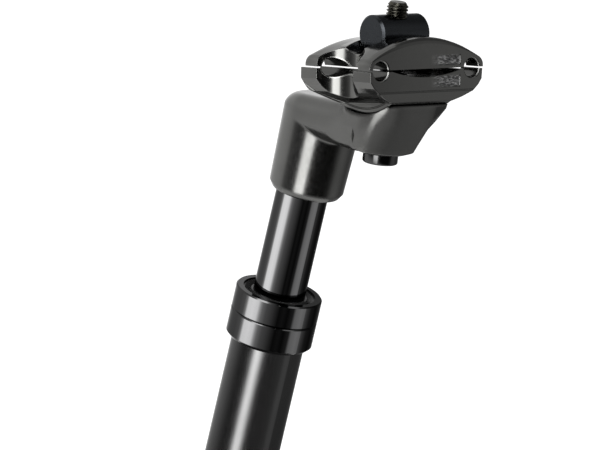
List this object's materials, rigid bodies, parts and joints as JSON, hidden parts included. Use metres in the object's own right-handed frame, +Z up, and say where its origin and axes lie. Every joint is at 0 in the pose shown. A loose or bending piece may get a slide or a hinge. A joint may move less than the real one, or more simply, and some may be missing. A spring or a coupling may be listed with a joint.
{
  "type": "bicycle seatpost",
  "caption": "Telescopic seatpost: a sprung tube slides in the frame tube and carries a set-back head with a tilting bolted cradle for saddle rails.",
  "frame": {"origin": "centre of the outer tube's lower end", "axes": "+Z up the tube, +X to the rear of the bicycle, +Y to its right"},
  "size_m": [0.0679, 0.0548, 0.3749],
  "materials": {
    "satin_black": "satin black anodised",
    "gloss_black": "gloss black",
    "seal_rubber": "smooth",
    "bush_plastic": "turned",
    "key_brass": "drawn",
    "plug_alloy": "turned",
    "zinc_steel": "zinc plated",
    "spring_steel": "oiled",
    "bumper_rubber": "moulded",
    "bright_chrome": "polished",
    "dark_alloy": "polished, dark",
    "black_steel": "black oxide"
  },
  "bodies": {
    "outer": {"outer_tube": "satin_black", "collar_lower_ring": "gloss_black", "collar_top_nut": "gloss_black", "wiper_seal": "seal_rubber", "upper_bushing": "bush_plastic", "guide_keys": "key_brass", "preload_plug": "plug_alloy", "lower_spring_washer": "zinc_steel", "main_spring": "spring_steel", "bottom_out_bumper": "bumper_rubber"},
    "inner": {"inner_tube": "bright_chrome", "spring_guide_rod": "bush_plastic", "lower_slide_bush": "bush_plastic", "retaining_ring": "spring_steel", "top_out_bumper": "bumper_rubber", "head_forging": "dark_alloy", "clamp_bolt": "black_steel", "bolt_washer": "zinc_steel", "barrel_nut": "zinc_steel"},
    "clamp": {"lower_clamp": "dark_alloy", "upper_clamp": "dark_alloy"}
  },
  "joints": [
    {"name": "suspension_slide", "type": "slide", "parent": "outer", "child": "inner", "axis": [0, 0, 1], "range_m": [-0.035, 0], "stiffness_N_per_m": 14000, "springref_m": 0.008, "deforming": ["main_spring"]},
    {"name": "clamp_tilt", "type": "hinge", "parent": "inner", "child": "clamp", "pos_m": [0.0284, 0, 0.3629], "axis": [0, -1, 0], "range_deg": [-10, 8]}
  ]
}
